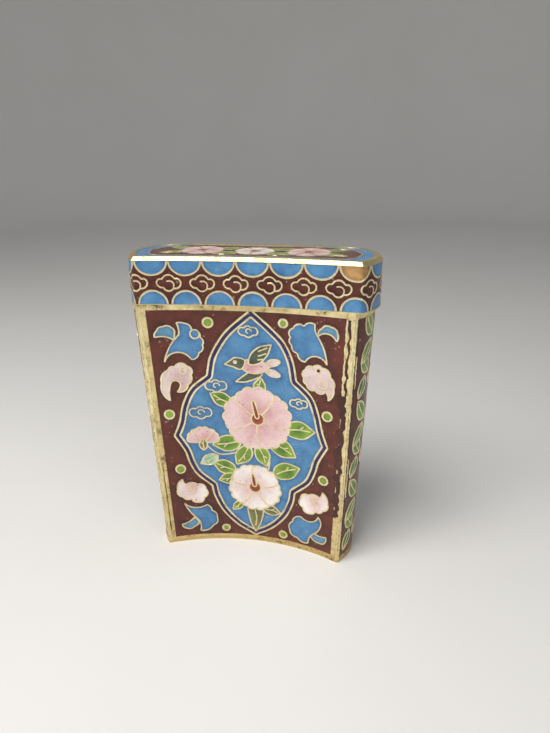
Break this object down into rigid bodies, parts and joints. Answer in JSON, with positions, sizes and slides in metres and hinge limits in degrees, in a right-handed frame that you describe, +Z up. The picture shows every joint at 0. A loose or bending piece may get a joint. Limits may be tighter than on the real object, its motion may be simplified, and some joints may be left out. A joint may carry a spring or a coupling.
{
  "type": "cloisonne enamel box",
  "caption": "Tall flask-shaped cloisonne enamel box with a concave front and a lift-off lid, gilt metal with flower and bird enamel.",
  "frame": {"origin": "middle of the bounding box at its base, on the surface that the box stands on", "axes": "+Z up, +X to the right of the front, +Y to the back; the concave front with the bird and flowers faces -Y"},
  "size_m": [0.0614, 0.0226, 0.08],
  "materials": {
    "gilt_metal": "worn gilding, polished on the rims",
    "inner_metal": "plain satin metal",
    "panel_enamel": "glossy, slightly pitted fired enamel",
    "side_enamel": "glossy, slightly pitted fired enamel",
    "lid_enamel": "glossy, slightly pitted fired enamel"
  },
  "bodies": {
    "root": {"base_plate": "gilt_metal", "body_shell": "gilt_metal", "neck_ring": "inner_metal", "front_enamel": "panel_enamel", "back_enamel": "panel_enamel", "left_enamel": "side_enamel", "right_enamel": "side_enamel", "lid_shell": "gilt_metal", "lid_band_enamel": "lid_enamel", "lid_top_enamel": "panel_enamel"}
  },
  "joints": []
}
